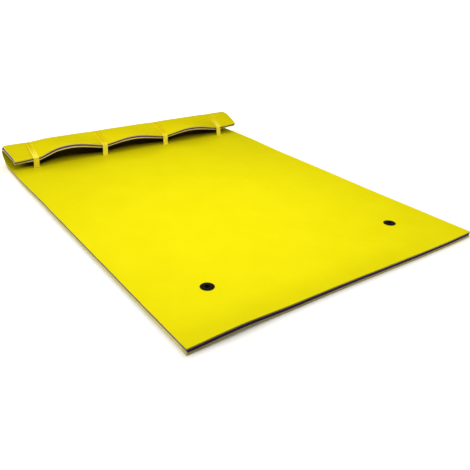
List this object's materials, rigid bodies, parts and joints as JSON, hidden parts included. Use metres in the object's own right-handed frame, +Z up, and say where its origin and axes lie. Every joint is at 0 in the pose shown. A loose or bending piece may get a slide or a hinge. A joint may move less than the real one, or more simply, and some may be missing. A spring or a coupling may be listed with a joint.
{
  "type": "foam floating mat",
  "caption": "Laminated foam floating mat whose far end is curled over and strapped into a pillow, with eyelets for a tether at its foot end.",
  "frame": {"origin": "under the middle of the whole mat, on the floor it lies on", "axes": "+X across the mat to its right side seen from the foot, +Y from the foot edge to the pillow, +Z up"},
  "size_m": [1.829, 2.455, 0.1793],
  "materials": {
    "foam_yellow": "closed-cell foam skin, matte",
    "foam_purple": "cut closed-cell foam, matte",
    "webbing": "woven webbing",
    "hook_and_loop": "hook and loop pile",
    "grommet_plastic": "moulded black plastic, satin"
  },
  "bodies": {
    "mat": {"mat_top_layer": "foam_yellow", "mat_core_layer": "foam_purple", "mat_bottom_layer": "foam_yellow", "pillow_strap_1": "webbing", "pillow_strap_2": "webbing", "pillow_strap_3": "webbing", "pillow_strap_4": "webbing", "strap_1_hook_patch": "hook_and_loop", "strap_1_loop_patch": "hook_and_loop", "strap_2_hook_patch": "hook_and_loop", "strap_2_loop_patch": "hook_and_loop", "strap_3_hook_patch": "hook_and_loop", "strap_3_loop_patch": "hook_and_loop", "strap_4_hook_patch": "hook_and_loop", "strap_4_loop_patch": "hook_and_loop", "left_grommet_eyelet": "grommet_plastic", "left_grommet_washer": "grommet_plastic", "right_grommet_eyelet": "grommet_plastic", "right_grommet_washer": "grommet_plastic"},
    "pillow": {"pillow_inner_layer": "foam_yellow", "pillow_core_layer": "foam_purple", "pillow_outer_layer": "foam_yellow"}
  },
  "joints": [
    {"name": "pillow_press", "type": "hinge", "parent": "mat", "child": "pillow", "pos_m": [0, 1.1375, 0.09], "axis": [1, 0, 0], "range_deg": [0, 12], "stiffness_Nm_per_rad": 12, "springref_deg": -5.73, "deforming": ["pillow_strap_1", "pillow_strap_2", "pillow_strap_3", "pillow_strap_4"]}
  ]
}
